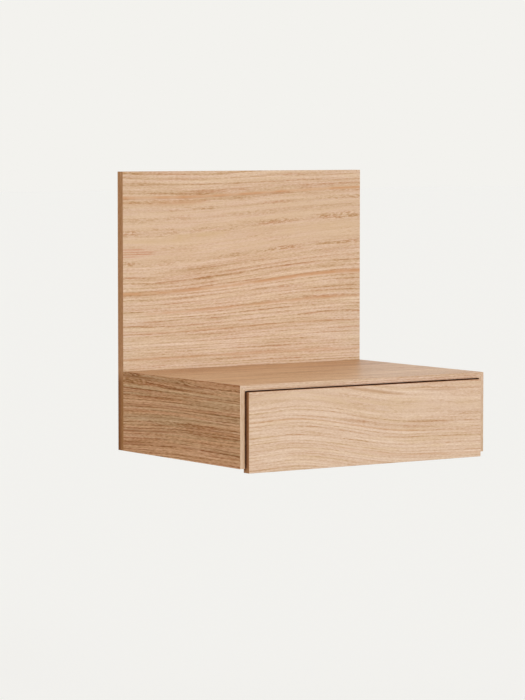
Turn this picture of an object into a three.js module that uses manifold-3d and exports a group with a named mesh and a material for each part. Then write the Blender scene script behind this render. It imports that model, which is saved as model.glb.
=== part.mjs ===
// Floating nightstand: a wall panel carries a shallow oak-veneered box.
// The box has one drawer, which runs on ball-bearing runners.
// Millimetres. +Z is up, -Y is the front, and the origin is the centre of the wall panel's rear face.
import * as THREE from "three";
import { mergeVertices } from "three/addons/utils/BufferGeometryUtils.js";
import Module from "manifold-3d";

const wasm = await Module();
wasm.setup();

// Wall panel
const panelWidth = 420;
const panelHeight = 400;
const panelThickness = 14;

// Box under the shelf
const carcassHeight = 114;
const shelfDepth = 299;
const topThickness = 8;
const sideThickness = 8;
const bottomThickness = 8;
const fingerRoom = 28;

// Drawer front
const frontThickness = 13;
const frontProud = 7;
const frontLip = 6;
const frontSideGap = 1.8;
const frontTopGap = 1.6;

// Drawer box
const boxBoard = 12;
const boxLift = 6;
const boxHeadroom = 16;
const boxRearRoom = 23;
const boxBottomThickness = 4;
const grooveRise = 8;
const grooveDepth = 5;
const housingDepth = 4;
const boxEdgeRound = 2;

// Ball-bearing runners
const runnerHeight = 35;
const runnerFrontRoom = 2;
const runnerRearRoom = 18;
const sheet = 1.2;
const ballRadius = 1.95;
const ballClearance = 0.1;
const cageSheet = 0.5;
const cageGap = 0.3;
const cageRim = 0.7;
const raceShoulder = 1.32;
const accessHoleRadius = 5;
const cageLengthShare = 0.44;
const bendShare = 0.8;
const ballsInRow = 5;
const outerWrap = { startDegrees: -50, endDegrees: 70 };
const middleWrap = { startDegrees: 205, endDegrees: 60 };
const drawerWrap = { startDegrees: 130, endDegrees: 220 };
const raceTiltDegrees = 40;
const slotLength = 11;
const slotRadius = 2.1;

// Release levers, one on each drawer member
const leverLength = 52;
const leverThickness = 1.6;
const leverArmWidth = 5;
const leverPadLength = 16;
const leverPadWidth = 12;
const leverPadCorner = 3;
const leverHubRadius = 4.5;
const leverPivotRadius = 2;

// Keyhole hanger plates
const hangerWidth = 52;
const hangerHeight = 34;
const hangerThickness = 2;
const hangerInset = 44;
const hangerDrop = 40;
const hangerRecess = 0.3;
const hangerCorner = 4;
const keyholeRadius = 5;
const keyslotWidth = 5;
const keyslotRise = 10;
const keyPocketDepth = 6;
const keyPocketMargin = 2.5;
const hangerScrewInset = 8;

// Fasteners
const panelScrew = { length: 38, shank: 1.75, head: 3.6, headHeight: 2.2, countersunk: true };
const hangerScrew = { length: 10, shank: 1.4, head: 2.9, headHeight: 1.6, countersunk: true };
const cabinetMemberScrew = { length: 6.8, shank: 1.6, head: 3.1, headHeight: 1.7, countersunk: true };
const drawerMemberScrew = { length: 10, shank: 1.6, head: 3.4, headHeight: 1.8, countersunk: false };
const frontScrew = { length: 21, shank: 1.9, head: 4.2, headHeight: 2.4, countersunk: false };
const dowelRadius = 2.5;
const dowelInSide = 5;
const dowelInBottom = 11;
const dowelChamfer = 0.6;
const tipShare = 0.8;
const driveWidthShare = 0.28;
const driveSpanShare = 1.15;
const driveDepthShare = 0.62;

// Places along the edges, as shares of the length that they follow
const sideScrewShares = [0.16, 0.72];
const topScrewShares = [0.15, 0.5, 0.85];
const bottomScrewShares = [0.2, 0.8];
const dowelShares = [0.18, 0.8];
const runnerScrewShares = [0.14, 0.86];
const accessHoleShares = [0.14, 0.5, 0.86];
const slotShares = [0.3, 0.7];
const frontScrewSpanShares = [0.16, 0.84];
const frontScrewRiseShares = [0.34, 0.76];

// Fits
const glueLine = 0.05;
const screwFit = 0.15;
const boardFit = 0.2;
const overrun = 2;
const weld = 0.001;
const roundSides = 16;
const screwSides = 10;
const quarterTurnDegrees = 90;
const arcStepDegrees = 15;
const ballSides = 8;

// Places that follow from the sizes
const baseZ = -panelHeight / 2;
const shelfZ = baseZ + carcassHeight;
const panelFrontY = -panelThickness;
const carcassFrontY = panelFrontY - shelfDepth;
const frontFaceY = carcassFrontY - frontProud;
const frontBackY = frontFaceY + frontThickness;
const sideInnerX = panelWidth / 2 - sideThickness;
const floorZ = baseZ + bottomThickness;
const ceilingZ = shelfZ - topThickness;
const bottomFrontY = frontBackY + fingerRoom;
const boxFrontY = frontBackY + glueLine;
const boxRearY = panelFrontY - boxRearRoom;
const boxBaseZ = floorZ + boxLift;
const boxTopZ = ceilingZ - boxHeadroom;
const runnerFrontY = frontBackY + runnerFrontRoom;
const runnerRearY = boxRearY - runnerRearRoom;
const runnerLength = runnerRearY - runnerFrontY;
const runnerMidY = (runnerRearY + runnerFrontY) / 2;
const runnerMidZ = (boxBaseZ + boxTopZ) / 2;

// Section of a runner, measured from the cabinet side's face: x across it, y up from its middle
const raceRadius = ballRadius + ballClearance + sheet / 2;
const bendRadius = raceShoulder * bendShare;
const middleWebX = sheet + cageGap + cageSheet + cageGap + sheet / 2;
const outerBall = new THREE.Vector2(
  middleWebX + raceShoulder - raceRadius * sine(middleWrap.startDegrees),
  runnerHeight / 2 - sheet / 2 - raceRadius,
);
const innerBall = new THREE.Vector2(
  outerBall.x + 2 * raceRadius * sine(raceTiltDegrees),
  outerBall.y - 2 * raceRadius * cosine(raceTiltDegrees),
);
const drawerWebX = innerBall.x + raceRadius * sine(drawerWrap.startDegrees) + raceShoulder;
const runnerThickness = drawerWebX + sheet / 2;
const leverPivotY = leverLength / 2 - leverHubRadius;
const boxHalfWidth = sideInnerX - runnerThickness - 2 * glueLine;
const boxInnerX = boxHalfWidth - boxBoard;

function sine(degrees) {
  return Math.sin(THREE.MathUtils.degToRad(degrees));
}

function cosine(degrees) {
  return Math.cos(THREE.MathUtils.degToRad(degrees));
}

function between(start, end, share) {
  return start + (end - start) * share;
}

// Solids

function solidOf(geometry) {
  const loose = geometry.index ? geometry.toNonIndexed() : geometry;
  const bare = new THREE.BufferGeometry();
  bare.setAttribute("position", loose.getAttribute("position"));
  const merged = mergeVertices(bare, weld);
  const vertProperties = merged.attributes.position.array;
  const triVerts = new Uint32Array(merged.index.array);
  return new wasm.Manifold(new wasm.Mesh({ numProp: 3, vertProperties, triVerts }));
}

function geometryOf(solid) {
  const mesh = solid.getMesh();
  const geometry = new THREE.BufferGeometry();
  geometry.setAttribute("position", new THREE.BufferAttribute(mesh.vertProperties, 3));
  geometry.setIndex(new THREE.BufferAttribute(mesh.triVerts, 1));
  geometry.computeVertexNormals();
  return geometry;
}

function cut(geometry, tools) {
  return geometryOf(tools.reduce((rest, tool) => rest.subtract(solidOf(tool)), solidOf(geometry)));
}

function join(geometry, others) {
  return geometryOf(others.reduce((whole, other) => whole.add(solidOf(other)), solidOf(geometry)));
}

function block(x, y, z) {
  const geometry = new THREE.BoxGeometry(x[1] - x[0], y[1] - y[0], z[1] - z[0]);
  return geometry.translate((x[0] + x[1]) / 2, (y[0] + y[1]) / 2, (z[0] + z[1]) / 2);
}

function polygon(points) {
  return new THREE.Shape(points.map(([x, y]) => new THREE.Vector2(x, y)));
}

function prism(shape, depth) {
  return new THREE.ExtrudeGeometry(shape, { depth, bevelEnabled: false, curveSegments: roundSides / 4 });
}

// A section drawn in x and z, run forwards from rearY to frontY.
function alongY(shape, rearY, frontY) {
  return prism(shape, rearY - frontY).rotateX(Math.PI / 2).translate(0, rearY, 0);
}

// A section drawn in y and z, run from startX to endX.
function alongX(shape, startX, endX) {
  const turn = new THREE.Matrix4().makeBasis(
    new THREE.Vector3(0, 1, 0),
    new THREE.Vector3(0, 0, 1),
    new THREE.Vector3(1, 0, 0),
  );
  return prism(shape, endX - startX).applyMatrix4(turn).translate(startX, 0, 0);
}

function roundedRectangle(x, y, radius) {
  const shape = new THREE.Shape();
  shape.moveTo(x[0] + radius, y[0]);
  shape.lineTo(x[1] - radius, y[0]);
  shape.absarc(x[1] - radius, y[0] + radius, radius, -Math.PI / 2, 0);
  shape.lineTo(x[1], y[1] - radius);
  shape.absarc(x[1] - radius, y[1] - radius, radius, 0, Math.PI / 2);
  shape.lineTo(x[0] + radius, y[1]);
  shape.absarc(x[0] + radius, y[1] - radius, radius, Math.PI / 2, Math.PI);
  shape.lineTo(x[0], y[0] + radius);
  shape.absarc(x[0] + radius, y[0] + radius, radius, Math.PI, 1.5 * Math.PI);
  return shape;
}

// Fasteners point along -Y, with the top of a countersunk head, or the seat of a raised one, at y = 0.

function lathe(points, sides) {
  return new THREE.LatheGeometry(points.map(([x, y]) => new THREE.Vector2(x, y)), sides);
}

function screwProfile(screw, fit, above) {
  const shank = screw.shank + fit;
  const head = screw.head + fit;
  const tipY = -screw.length - fit;
  const coneY = tipY + screw.shank * tipShare * 2;
  if (screw.countersunk) {
    return [[0, tipY], [shank, coneY], [shank, -screw.headHeight], [head, 0], ...above];
  }
  return [[0, tipY], [shank, coneY], [shank, 0], ...above];
}

function screwGeometry(screw) {
  const domeY = screw.headHeight * tipShare;
  const top = screw.countersunk ? 0 : screw.headHeight;
  const raised = [[screw.head, 0], [screw.head, domeY / 2], [screw.head * tipShare, domeY], [0, top]];
  const profile = screwProfile(screw, 0, screw.countersunk ? [[0, 0]] : raised);
  const span = screw.shank * driveSpanShare;
  const wide = screw.shank * driveWidthShare;
  const depth = [top - screw.headHeight * driveDepthShare, top + overrun];
  const drive = [block([-span, span], depth, [-wide, wide]), block([-wide, wide], depth, [-span, span])];
  return cut(lathe(profile, screwSides), drive);
}

function screwHole(screw) {
  const radius = (screw.countersunk ? screw.head : screw.shank) + screwFit;
  return lathe(screwProfile(screw, screwFit, [[radius, overrun], [0, overrun]]), screwSides);
}

function placed(geometry, place) {
  const copy = geometry.clone().rotateZ(place.turn ?? 0);
  return copy.translate(place.x, place.y, place.z);
}

function holesAt(places, screw) {
  return places.map((place) => placed(screwHole(screw), place));
}

// Places of the fasteners

const panelScrewPlaces = [
  ...sideScrewShares.flatMap((share, i) =>
    [-1, 1].map((side) => ({
      name: `${side < 0 ? "left" : "right"}_side_screw_${i + 1}`,
      x: side * (panelWidth - sideThickness) / 2,
      y: 0,
      z: between(baseZ, shelfZ, share),
    })),
  ),
  ...topScrewShares.map((share, i) => ({
    name: `top_screw_${i + 1}`,
    x: between(-sideInnerX, sideInnerX, share),
    y: 0,
    z: shelfZ - topThickness / 2,
  })),
  ...bottomScrewShares.map((share, i) => ({
    name: `bottom_screw_${i + 1}`,
    x: between(-sideInnerX, sideInnerX, share),
    y: 0,
    z: baseZ + bottomThickness / 2,
  })),
];

const hangerX = panelWidth / 2 - hangerInset - hangerWidth / 2;
const hangerZ = panelHeight / 2 - hangerDrop;
const hangerFaceY = -hangerRecess - hangerThickness;
const hangerScrewPlaces = [-1, 1].flatMap((side) =>
  [-1, 1].map((end, i) => ({
    name: `${side < 0 ? "left" : "right"}_hanger_screw_${i + 1}`,
    x: side * hangerX + end * (hangerWidth / 2 - hangerScrewInset),
    y: -hangerRecess,
    z: hangerZ,
  })),
);

const dowelPlaces = dowelShares.flatMap((share, i) =>
  [-1, 1].map((side) => ({
    name: `${side < 0 ? "left" : "right"}_bottom_dowel_${i + 1}`,
    x: side * (sideInnerX - (dowelInBottom - dowelInSide) / 2),
    y: between(panelFrontY, bottomFrontY, share),
    z: baseZ + bottomThickness / 2,
  })),
);

const frontScrewPlaces = frontScrewRiseShares.flatMap((rise, row) =>
  frontScrewSpanShares.map((share, i) => ({
    name: `front_screw_${row * frontScrewSpanShares.length + i + 1}`,
    x: between(-boxInnerX, boxInnerX, share),
    y: boxFrontY + boxBoard + glueLine,
    z: between(boxBaseZ, boxTopZ, rise),
  })),
);

function runnerScrewPlaces(side, owner) {
  const sideName = side < 0 ? "left" : "right";
  const faceX = owner === "cabinet" ? sideInnerX - sheet - glueLine : boxHalfWidth + sheet + 2 * glueLine;
  const inwards = owner === "cabinet" ? -1 : 1;
  return runnerScrewShares.map((share, i) => ({
    name: `${sideName}_${owner}_member_screw_${i + 1}`,
    x: side * faceX,
    y: between(runnerRearY, runnerFrontY, share),
    z: runnerMidZ,
    turn: -side * inwards * (Math.PI / 2),
  }));
}

const cabinetMemberScrewPlaces = [-1, 1].flatMap((side) => runnerScrewPlaces(side, "cabinet"));
const drawerMemberScrewPlaces = [-1, 1].flatMap((side) => runnerScrewPlaces(side, "drawer"));

// Boards of the box on the wall

function keyhole(margin) {
  const shape = new THREE.Shape();
  const slot = keyslotWidth / 2 + margin;
  const round = keyholeRadius + margin;
  const meet = Math.asin(slot / round);
  shape.absarc(0, 0, round, Math.PI / 2 + meet, 2.5 * Math.PI - meet);
  shape.absarc(0, keyslotRise, slot, 0, Math.PI);
  return shape;
}

function wallPanel() {
  const board = block(
    [-panelWidth / 2, panelWidth / 2],
    [panelFrontY, 0],
    [-panelHeight / 2, panelHeight / 2],
  );
  const pockets = [-1, 1].flatMap((side) => {
    const plate = roundedRectangle(
      [-hangerWidth / 2 - boardFit, hangerWidth / 2 + boardFit],
      [-hangerHeight / 2 - boardFit, hangerHeight / 2 + boardFit],
      hangerCorner,
    );
    const reach = keyholeRadius + keyPocketMargin;
    const centre = keyslotRise / 2;
    const head = block(
      [-reach, reach],
      [hangerFaceY - keyPocketDepth, overrun],
      [-centre - reach, centre + reach],
    );
    return [alongY(plate, overrun, hangerFaceY - glueLine), head].map((pocket) =>
      pocket.translate(side * hangerX, 0, hangerZ),
    );
  });
  const holes = [
    ...pockets,
    ...holesAt(panelScrewPlaces, panelScrew),
    ...holesAt(hangerScrewPlaces, hangerScrew),
  ];
  return cut(board, holes);
}

function hangerPlate() {
  const outline = roundedRectangle(
    [-hangerWidth / 2, hangerWidth / 2],
    [-hangerHeight / 2, hangerHeight / 2],
    hangerCorner,
  );
  const slot = alongY(keyhole(0), overrun, hangerFaceY - overrun).translate(0, 0, -keyslotRise / 2);
  const plate = alongY(outline, -hangerRecess, hangerFaceY);
  const screws = [-1, 1].map((end) => ({
    x: end * (hangerWidth / 2 - hangerScrewInset),
    y: -hangerRecess,
    z: 0,
  }));
  return cut(plate, [slot, ...holesAt(screws, hangerScrew)]);
}

function topPanel() {
  const outerX = panelWidth / 2;
  const section = polygon([
    [-outerX, shelfZ],
    [-sideInnerX, ceilingZ],
    [sideInnerX, ceilingZ],
    [outerX, shelfZ],
  ]);
  const board = alongY(section, panelFrontY - glueLine, carcassFrontY);
  return cut(board, holesAt(panelScrewPlaces, panelScrew));
}

// The side's upper end follows the mitre of the top panel, one glue line below it.
function sidePanel(side) {
  const outerX = side * panelWidth / 2;
  const innerX = side * sideInnerX;
  const section = polygon([
    [innerX, baseZ],
    [innerX, ceilingZ - glueLine],
    [outerX, shelfZ - glueLine],
    [outerX, baseZ],
  ]);
  const board = alongY(section, panelFrontY - glueLine, carcassFrontY);
  const holes = [
    ...holesAt(panelScrewPlaces, panelScrew),
    ...holesAt(cabinetMemberScrewPlaces, cabinetMemberScrew),
    ...dowelPlaces.map(dowelHole),
  ];
  return cut(board, holes);
}

function bottomPanel() {
  const halfWidth = sideInnerX - glueLine;
  const board = block([-halfWidth, halfWidth], [bottomFrontY, panelFrontY - glueLine], [baseZ, floorZ]);
  return cut(board, [...holesAt(panelScrewPlaces, panelScrew), ...dowelPlaces.map(dowelHole)]);
}

function dowelGeometry() {
  const half = (dowelInSide + dowelInBottom) / 2;
  const profile = [
    [0, -half],
    [dowelRadius - dowelChamfer, -half],
    [dowelRadius, -half + dowelChamfer],
    [dowelRadius, half - dowelChamfer],
    [dowelRadius - dowelChamfer, half],
    [0, half],
  ];
  return lathe(profile, screwSides).rotateZ(Math.PI / 2);
}

function dowelHole(place) {
  const half = (dowelInSide + dowelInBottom) / 2 + screwFit;
  const radius = dowelRadius + screwFit;
  const hole = lathe([[0, -half], [radius, -half], [radius, half], [0, half]], screwSides);
  return placed(hole.rotateZ(Math.PI / 2), place);
}

// Drawer

function drawerFront() {
  const halfWidth = sideInnerX - frontSideGap;
  const board = block(
    [-halfWidth, halfWidth],
    [frontFaceY, frontBackY],
    [baseZ - frontLip, ceilingZ - frontTopGap],
  );
  return cut(board, holesAt(frontScrewPlaces, frontScrew));
}

// Section of a box board: inner face at 0, outer face at boxBoard, with a rounded upper edge and a groove.
function boxBoardSection() {
  const shape = new THREE.Shape();
  const grooveZ = boxBaseZ + grooveRise;
  const grooveTopZ = grooveZ + boxBottomThickness + 2 * boardFit;
  shape.moveTo(0, boxBaseZ);
  shape.lineTo(boxBoard, boxBaseZ);
  shape.lineTo(boxBoard, boxTopZ - boxEdgeRound);
  shape.absarc(boxBoard - boxEdgeRound, boxTopZ - boxEdgeRound, boxEdgeRound, 0, Math.PI / 2);
  shape.absarc(boxEdgeRound, boxTopZ - boxEdgeRound, boxEdgeRound, Math.PI / 2, Math.PI);
  shape.lineTo(0, grooveTopZ);
  shape.lineTo(grooveDepth, grooveTopZ);
  shape.lineTo(grooveDepth, grooveZ);
  shape.lineTo(0, grooveZ);
  return shape;
}

function drawerSide(side) {
  const board = alongY(boxBoardSection(), boxRearY, boxFrontY);
  board.rotateZ(side < 0 ? Math.PI : 0);
  board.translate(side * boxInnerX, side < 0 ? boxRearY + boxFrontY : 0, 0);
  const housingX = boxInnerX + housingDepth + boardFit;
  const across = side < 0 ? [-housingX, -boxInnerX + overrun] : [boxInnerX - overrun, housingX];
  const upright = [boxBaseZ - overrun, boxTopZ + overrun];
  const backFrontY = boxRearY - boxBoard - housingDepth;
  const housings = [
    block(across, [boxFrontY - overrun, boxFrontY + boxBoard + boardFit], upright),
    block(across, [backFrontY - boardFit, backFrontY + boxBoard + boardFit], upright),
  ];
  return cut(board, [...housings, ...holesAt(drawerMemberScrewPlaces, drawerMemberScrew)]);
}

// The cross boards enter the housings in the sides.
function crossBoard(innerFaceY, outwards) {
  const halfWidth = boxInnerX + housingDepth;
  const board = alongX(boxBoardSection(), -halfWidth, halfWidth);
  board.rotateZ(outwards < 0 ? Math.PI : 0);
  return board.translate(0, innerFaceY, 0);
}

function drawerInnerFront() {
  const board = crossBoard(boxFrontY + boxBoard, -1);
  return cut(board, holesAt(frontScrewPlaces, frontScrew));
}

function drawerBack() {
  return crossBoard(boxRearY - boxBoard - housingDepth, 1);
}

function drawerBottom() {
  const reach = grooveDepth - boardFit;
  const halfWidth = boxInnerX + reach;
  const low = boxBaseZ + grooveRise + boardFit;
  return block(
    [-halfWidth, halfWidth],
    [boxFrontY + boxBoard - reach, boxRearY - boxBoard - housingDepth + reach],
    [low, low + boxBottomThickness],
  );
}

// Runners, drawn for the left side: x from the cabinet side's face to the drawer's, y up

// Points on an arc. Degrees run clockwise from straight up.
function arc(centre, radius, start, end) {
  const steps = Math.max(1, Math.round(Math.abs(end - start) / arcStepDegrees));
  return Array.from({ length: steps + 1 }, (_, i) => {
    const degrees = between(start, end, i / steps);
    return new THREE.Vector2(centre.x + radius * sine(degrees), centre.y + radius * cosine(degrees));
  });
}

// Outline of a sheet of even thickness that follows a line, with mitred turns.
function sheetOutline(line, thickness) {
  const offset = (point, i, side) => {
    const before = line[Math.max(i - 1, 0)];
    const after = line[Math.min(i + 1, line.length - 1)];
    const into = point.clone().sub(i > 0 ? before : point).normalize();
    const out = after.clone().sub(i < line.length - 1 ? point : after).normalize();
    const first = i > 0 ? into : out;
    const last = i < line.length - 1 ? out : into;
    const along = first.clone().add(last).normalize();
    const reach = (side * thickness) / 2 / along.dot(last);
    return new THREE.Vector2(point.x - along.y * reach, point.y + along.x * reach);
  };
  const near = line.map((point, i) => offset(point, i, -1));
  const far = line.map((point, i) => offset(point, i, 1));
  return new THREE.Shape([...near, ...far.reverse()]);
}

// The upper half of a member's line, from its web outwards, gets its mirror image below.
function sheetSection(upper, thickness) {
  const lower = upper.map((point) => new THREE.Vector2(point.x, -point.y)).reverse();
  return sheetOutline([...lower, ...upper], thickness);
}

function bend(webX, shoulderY, towards) {
  const centre = new THREE.Vector2(webX + towards * bendRadius, shoulderY - bendRadius);
  return arc(centre, bendRadius, -quarterTurnDegrees * towards, 0);
}

function cabinetMemberLine() {
  const shoulderY = outerBall.y + raceRadius * cosine(outerWrap.startDegrees);
  const race = arc(outerBall, raceRadius, outerWrap.startDegrees, outerWrap.endDegrees);
  return [...bend(sheet / 2, shoulderY, 1), ...race];
}

function middleMemberLine() {
  const shoulderY = outerBall.y + raceRadius * cosine(middleWrap.startDegrees);
  const turnDegrees = 2 * quarterTurnDegrees - raceTiltDegrees;
  const outerRace = arc(outerBall, raceRadius, middleWrap.startDegrees, turnDegrees);
  const innerRace = arc(innerBall, raceRadius, -raceTiltDegrees, middleWrap.endDegrees);
  return [...bend(middleWebX, shoulderY, 1), ...outerRace, ...innerRace.slice(1)];
}

function drawerMemberLine() {
  const shoulderY = innerBall.y + raceRadius * cosine(drawerWrap.startDegrees);
  const race = arc(innerBall, raceRadius, drawerWrap.startDegrees, drawerWrap.endDegrees);
  return [...bend(drawerWebX, shoulderY, -1), ...race];
}

function member(line, holes) {
  const half = runnerLength / 2;
  return cut(alongY(sheetSection(line, sheet), half, -half), holes);
}

// Runner screws in the runner's own frame, where the left runner has its drawer side at +x.
function memberScrewHoles(screw, faceX, turn) {
  const places = runnerScrewShares.map((share) => ({
    x: faceX,
    y: between(runnerLength / 2, -runnerLength / 2, share),
    z: 0,
    turn,
  }));
  return holesAt(places, screw);
}

// Round-ended slots through a web, along the runner or turned upright.
function webSlots(webX, turn) {
  const half = slotLength / 2 - slotRadius;
  const shape = new THREE.Shape();
  shape.absarc(half, 0, slotRadius, -Math.PI / 2, Math.PI / 2);
  shape.absarc(-half, 0, slotRadius, Math.PI / 2, 1.5 * Math.PI);
  return slotShares.map((share) => {
    const slot = alongX(shape, webX - overrun, webX + overrun).rotateX(turn);
    return slot.translate(0, between(runnerLength / 2, -runnerLength / 2, share), 0);
  });
}

function crossPin(radius, startX, endX, y) {
  const pin = new THREE.CylinderGeometry(radius, radius, endX - startX, roundSides);
  return pin.rotateZ(Math.PI / 2).translate((startX + endX) / 2, y, 0);
}

function cabinetMember() {
  const screwHoles = memberScrewHoles(cabinetMemberScrew, sheet, -Math.PI / 2);
  return member(cabinetMemberLine(), [...screwHoles, ...webSlots(sheet / 2, 0)]);
}

function middleMember() {
  const holes = accessHoleShares.map((share) => {
    const y = between(runnerLength / 2, -runnerLength / 2, share);
    return crossPin(accessHoleRadius, middleWebX - overrun, middleWebX + overrun, y);
  });
  return member(middleMemberLine(), holes);
}

function drawerMember() {
  const screwHoles = memberScrewHoles(drawerMemberScrew, runnerThickness - sheet - glueLine, Math.PI / 2);
  const pivotRadius = leverPivotRadius + screwFit;
  const pivotHole = crossPin(pivotRadius, drawerWebX - overrun, drawerWebX + overrun, leverPivotY);
  return member(drawerMemberLine(), [...screwHoles, ...webSlots(drawerWebX, Math.PI / 2), pivotHole]);
}

// A flat lever that lies on the drawer member's web: a thumb pad in front, and a hub with its pivot behind.
function releaseLever() {
  const faceX = drawerWebX - sheet / 2 - glueLine;
  const backX = faceX - leverThickness;
  const padFrontY = -leverLength / 2;
  const padRearY = padFrontY + leverPadLength;
  const padHalf = leverPadWidth / 2;
  const armHalf = leverArmWidth / 2;
  const arm = polygon([
    [padRearY - leverPadCorner, -padHalf + leverPadCorner],
    [leverPivotY, -armHalf],
    [leverPivotY, armHalf],
    [padRearY - leverPadCorner, padHalf - leverPadCorner],
  ]);
  const pad = roundedRectangle([padFrontY, padRearY], [-padHalf, padHalf], leverPadCorner);
  const hub = crossPin(leverHubRadius, backX, faceX, leverPivotY);
  const pivot = crossPin(leverPivotRadius, backX, drawerWebX + sheet / 2, leverPivotY);
  return join(alongX(pad, backX, faceX), [alongX(arm, backX, faceX), hub, pivot]);
}

// A strip bent round a row of balls above and a row below, which it holds at their middles.
function ballCage(webX, ball) {
  const end = new THREE.Vector2(ball.x + ballRadius + cageRim, ball.y);
  const line = [...bend(webX, ball.y, 1), end];
  const half = (runnerLength * cageLengthShare) / 2;
  const strip = alongY(sheetSection(line, cageSheet), half, -half);
  const reach = half - ballRadius - cageRim;
  const balls = [-1, 1].flatMap((row) =>
    Array.from({ length: ballsInRow }, (_, i) => {
      const y = between(-reach, reach, i / (ballsInRow - 1));
      const round = new THREE.SphereGeometry(ballRadius, ballSides, ballSides / 2);
      return round.rotateX(Math.PI / 2).translate(ball.x, y, row * ball.y);
    }),
  );
  return join(strip, balls);
}

// Materials, from the photograph

function oak() {
  return new THREE.MeshStandardMaterial({ color: 0xd9b898, roughness: 0.55, metalness: 0 });
}

function birch() {
  return new THREE.MeshStandardMaterial({ color: 0xdcc6a4, roughness: 0.6, metalness: 0 });
}

function beech() {
  return new THREE.MeshStandardMaterial({ color: 0xcaa476, roughness: 0.7, metalness: 0 });
}

function zincSteel() {
  return new THREE.MeshStandardMaterial({ color: 0xb9bcbe, roughness: 0.35, metalness: 1 });
}

function blackPlastic() {
  return new THREE.MeshStandardMaterial({ color: 0x1c1c1d, roughness: 0.5, metalness: 0 });
}

function steelBall() {
  return new THREE.MeshStandardMaterial({ color: 0xd2d4d6, roughness: 0.2, metalness: 1 });
}

// Assembly

function piece(group, name, geometry, material, place = {}) {
  const mesh = new THREE.Mesh(geometry, material);
  mesh.name = name;
  mesh.position.set(place.x ?? 0, place.y ?? 0, place.z ?? 0);
  mesh.rotation.z = place.turn ?? 0;
  group.add(mesh);
}

function cabinet() {
  const group = new THREE.Group();
  piece(group, "wall_panel", wallPanel(), oak());
  piece(group, "top_panel", topPanel(), oak());
  piece(group, "left_side_panel", sidePanel(-1), oak());
  piece(group, "right_side_panel", sidePanel(1), oak());
  piece(group, "bottom_panel", bottomPanel(), oak());
  dowelPlaces.forEach((place) => piece(group, place.name, dowelGeometry(), beech(), place));
  panelScrewPlaces.forEach((place) =>
    piece(group, place.name, screwGeometry(panelScrew), zincSteel(), place),
  );
  piece(group, "left_hanger_plate", hangerPlate(), zincSteel(), { x: -hangerX, z: hangerZ });
  piece(group, "right_hanger_plate", hangerPlate(), zincSteel(), { x: hangerX, z: hangerZ });
  hangerScrewPlaces.forEach((place) =>
    piece(group, place.name, screwGeometry(hangerScrew), zincSteel(), place),
  );
  return group;
}

function drawer() {
  const group = new THREE.Group();
  piece(group, "drawer_front", drawerFront(), oak());
  piece(group, "drawer_inner_front", drawerInnerFront(), birch());
  piece(group, "drawer_left_side", drawerSide(-1), birch());
  piece(group, "drawer_right_side", drawerSide(1), birch());
  piece(group, "drawer_back", drawerBack(), birch());
  piece(group, "drawer_bottom", drawerBottom(), birch());
  frontScrewPlaces.forEach((place) =>
    piece(group, place.name, screwGeometry(frontScrew), zincSteel(), place),
  );
  return group;
}

function runnerScrews() {
  const group = new THREE.Group();
  cabinetMemberScrewPlaces.forEach((place) =>
    piece(group, place.name, screwGeometry(cabinetMemberScrew), zincSteel(), place),
  );
  drawerMemberScrewPlaces.forEach((place) =>
    piece(group, place.name, screwGeometry(drawerMemberScrew), zincSteel(), place),
  );
  return group;
}

// The right runner is the left one turned half round about its length.
function runner(sideName, side) {
  const group = new THREE.Group();
  const outerCageWebX = sheet + cageGap + cageSheet / 2;
  const innerCageWebX = middleWebX + sheet / 2 + cageGap + cageSheet / 2;
  piece(group, `${sideName}_runner_cabinet_member`, cabinetMember(), zincSteel());
  piece(group, `${sideName}_runner_middle_member`, middleMember(), zincSteel());
  piece(group, `${sideName}_runner_drawer_member`, drawerMember(), zincSteel());
  piece(group, `${sideName}_runner_release_lever`, releaseLever(), blackPlastic());
  piece(group, `${sideName}_runner_outer_cage`, ballCage(outerCageWebX, outerBall), steelBall());
  piece(group, `${sideName}_runner_inner_cage`, ballCage(innerCageWebX, innerBall), steelBall());
  group.position.set(side * (sideInnerX - glueLine), runnerMidY, runnerMidZ);
  group.rotation.y = side < 0 ? 0 : Math.PI;
  return group;
}

const nightstand = new THREE.Group();
nightstand.add(cabinet(), drawer(), runnerScrews(), runner("left", -1), runner("right", 1));

export default nightstand;
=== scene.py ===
import math
from typing import NamedTuple

import bpy
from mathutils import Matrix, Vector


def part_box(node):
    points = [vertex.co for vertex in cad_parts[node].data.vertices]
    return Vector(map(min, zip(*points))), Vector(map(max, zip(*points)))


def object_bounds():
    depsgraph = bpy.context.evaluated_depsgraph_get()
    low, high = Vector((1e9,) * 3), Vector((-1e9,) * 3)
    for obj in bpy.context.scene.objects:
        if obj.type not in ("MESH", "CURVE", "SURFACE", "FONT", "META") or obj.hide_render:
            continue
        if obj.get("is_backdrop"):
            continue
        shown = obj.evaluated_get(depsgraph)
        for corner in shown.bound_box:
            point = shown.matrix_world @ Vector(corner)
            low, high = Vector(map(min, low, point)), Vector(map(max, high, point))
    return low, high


# A wall-hung nightstand in oak veneer. Metres, +Z up, -Y the front, as in the CAD frame.
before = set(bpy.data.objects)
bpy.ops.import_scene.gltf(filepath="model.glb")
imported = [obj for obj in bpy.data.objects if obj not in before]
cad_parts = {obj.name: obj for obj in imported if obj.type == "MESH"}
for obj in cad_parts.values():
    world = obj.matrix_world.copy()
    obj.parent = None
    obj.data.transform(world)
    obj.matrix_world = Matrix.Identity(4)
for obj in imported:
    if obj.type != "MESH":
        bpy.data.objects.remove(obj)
cad_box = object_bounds()

# Millimetres in a metre. Places and lengths on the object are named in millimetres.
MM = 1000.0

# Camera, fitted to the edges of the object in the photograph: metres, degrees, and millimetres for the lens
CAMERA_PLACE = (-2.5239, -3.7383, 0.2499)
CAMERA_YAW = -34.461
CAMERA_PITCH = -3.983
CAMERA_LENS = 157.63
CAMERA_SENSOR = 36.0

# Studio: the surround and the even light from all sides
BACKGROUND = (243, 242, 238)
SKY_COLOUR = (1.0, 0.92, 0.83)
SKY_STRENGTH = 0.54

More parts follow.
